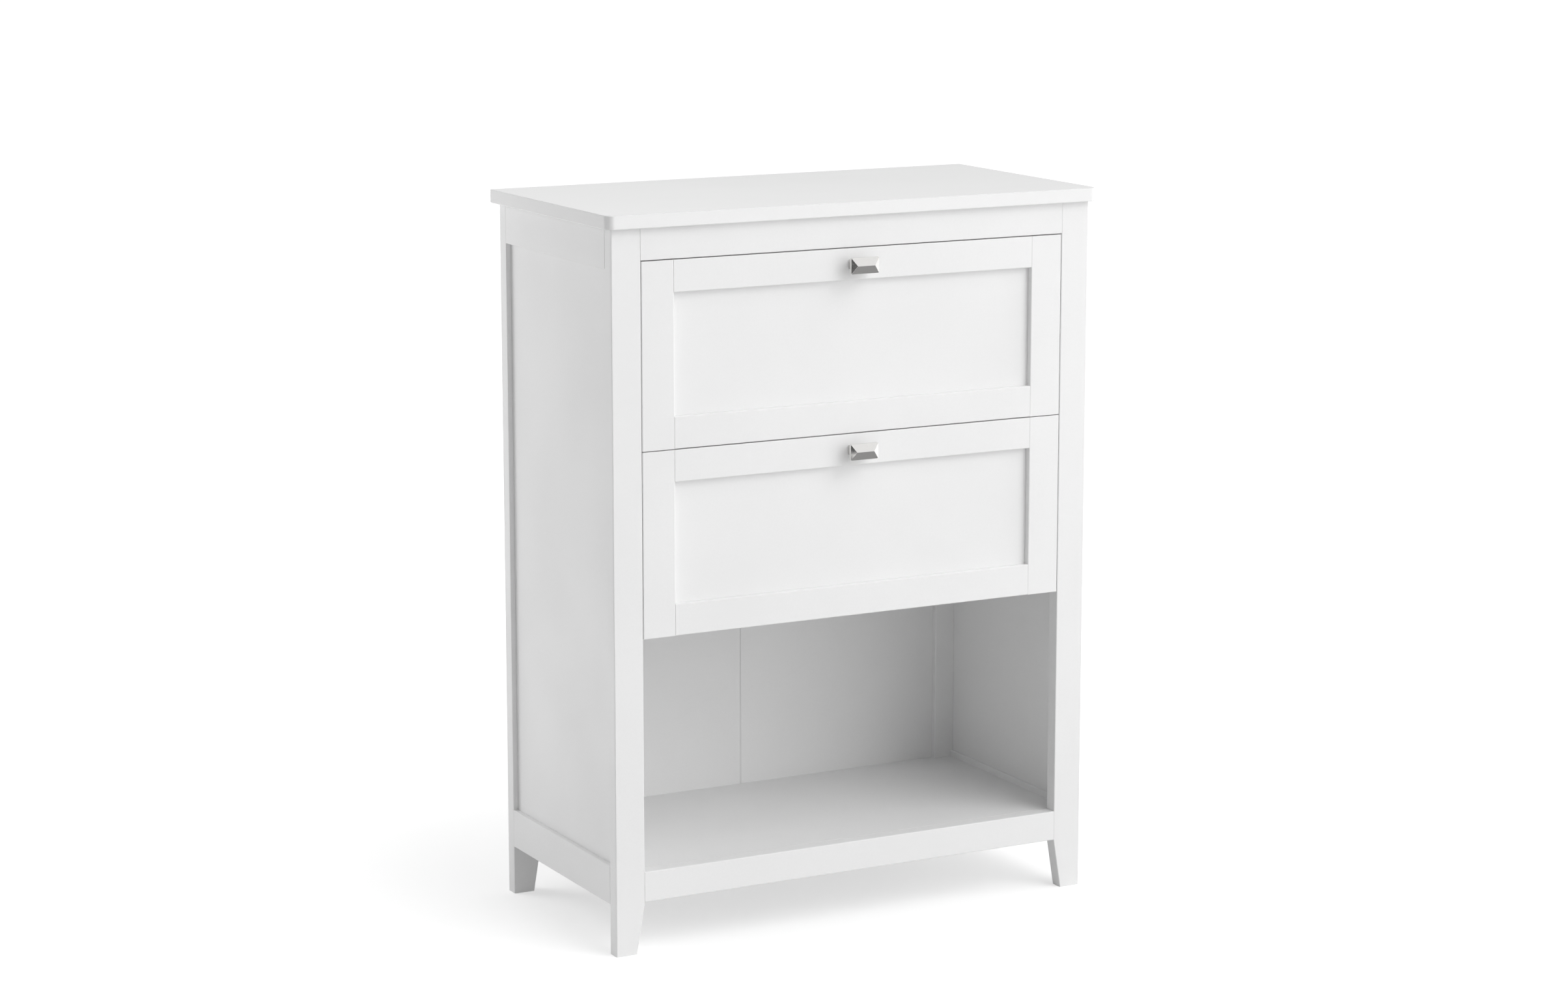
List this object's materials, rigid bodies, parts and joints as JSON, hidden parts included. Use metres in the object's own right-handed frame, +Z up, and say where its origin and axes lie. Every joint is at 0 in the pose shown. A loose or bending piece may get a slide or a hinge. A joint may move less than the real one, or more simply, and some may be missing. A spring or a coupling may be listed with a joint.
{
  "type": "bathroom storage tower",
  "caption": "Free-standing white frame-and-panel bathroom cabinet with sliding drawers on ball runners above an open compartment, on four tapered flat legs.",
  "frame": {"origin": "on the floor, in the middle of the cabinet's width, and midway between the front of the knobs and the back edge of the top board", "axes": "+X to the right as seen from the front, +Y from the front to the back, +Z up"},
  "size_m": [0.6, 0.313, 0.8],
  "materials": {
    "white_paint": "satin white paint on fibreboard",
    "white_board": "matt white foil on board",
    "white_plastic": "extruded white plastic",
    "zinc_plate": "zinc plated sheet steel",
    "zinc_cast": "die cast zinc",
    "ball_steel": "polished steel balls",
    "brushed_nickel": "brushed nickel",
    "beech": "bare turned beech"
  },
  "bodies": {
    "carcass": {"top_board": "white_paint", "front_left_leg": "white_paint", "front_right_leg": "white_paint", "back_left_leg": "white_paint", "back_right_leg": "white_paint", "front_top_rail": "white_paint", "front_bottom_rail": "white_paint", "back_top_rail": "white_paint", "back_bottom_rail": "white_paint", "left_side_top_rail": "white_paint", "left_side_bottom_rail": "white_paint", "left_side_panel": "white_paint", "right_side_top_rail": "white_paint", "right_side_bottom_rail": "white_paint", "right_side_panel": "white_paint", "bottom_board": "white_paint", "middle_board": "white_paint", "back_left_panel": "white_paint", "back_right_panel": "white_paint", "back_joint_strip": "white_plastic", "left_runner_battens": "white_board", "right_runner_battens": "white_board", "upper_left_outer_runner": "zinc_plate", "upper_right_outer_runner": "zinc_plate", "lower_left_outer_runner": "zinc_plate", "lower_right_outer_runner": "zinc_plate", "dowels": "beech", "cams": "zinc_cast", "cam_bolts": "zinc_plate", "runner_screws": "zinc_plate"},
    "upper_drawer": {"upper_front_left_stile": "white_paint", "upper_front_right_stile": "white_paint", "upper_front_top_rail": "white_paint", "upper_front_bottom_rail": "white_paint", "upper_front_panel": "white_paint", "upper_box_left_side": "white_board", "upper_box_right_side": "white_board", "upper_box_back": "white_board", "upper_box_bottom": "white_board", "upper_left_inner_runner": "zinc_plate", "upper_right_inner_runner": "zinc_plate", "upper_knob": "brushed_nickel", "upper_drawer_fasteners": "zinc_plate"},
    "upper_cages": {"upper_ball_cages": "zinc_plate", "upper_balls": "ball_steel"},
    "lower_drawer": {"lower_front_left_stile": "white_paint", "lower_front_right_stile": "white_paint", "lower_front_top_rail": "white_paint", "lower_front_bottom_rail": "white_paint", "lower_front_panel": "white_paint", "lower_box_left_side": "white_board", "lower_box_right_side": "white_board", "lower_box_back": "white_board", "lower_box_bottom": "white_board", "lower_left_inner_runner": "zinc_plate", "lower_right_inner_runner": "zinc_plate", "lower_knob": "brushed_nickel", "lower_drawer_fasteners": "zinc_plate"},
    "lower_cages": {"lower_ball_cages": "zinc_plate", "lower_balls": "ball_steel"}
  },
  "joints": [
    {"name": "upper_drawer_slide", "type": "slide", "parent": "carcass", "child": "upper_drawer", "axis": [0, -1, 0], "range_m": [0, 0.185]},
    {"name": "upper_cage_slide", "type": "slide", "parent": "carcass", "child": "upper_cages", "axis": [0, -1, 0], "range_m": [0, 0.0925]},
    {"name": "lower_drawer_slide", "type": "slide", "parent": "carcass", "child": "lower_drawer", "axis": [0, -1, 0], "range_m": [0, 0.185]},
    {"name": "lower_cage_slide", "type": "slide", "parent": "carcass", "child": "lower_cages", "axis": [0, -1, 0], "range_m": [0, 0.0925]}
  ],
  "couplings": [
    {"joint": "upper_cage_slide", "follows": "upper_drawer_slide", "ratio": 0.5},
    {"joint": "lower_cage_slide", "follows": "lower_drawer_slide", "ratio": 0.5}
  ]
}
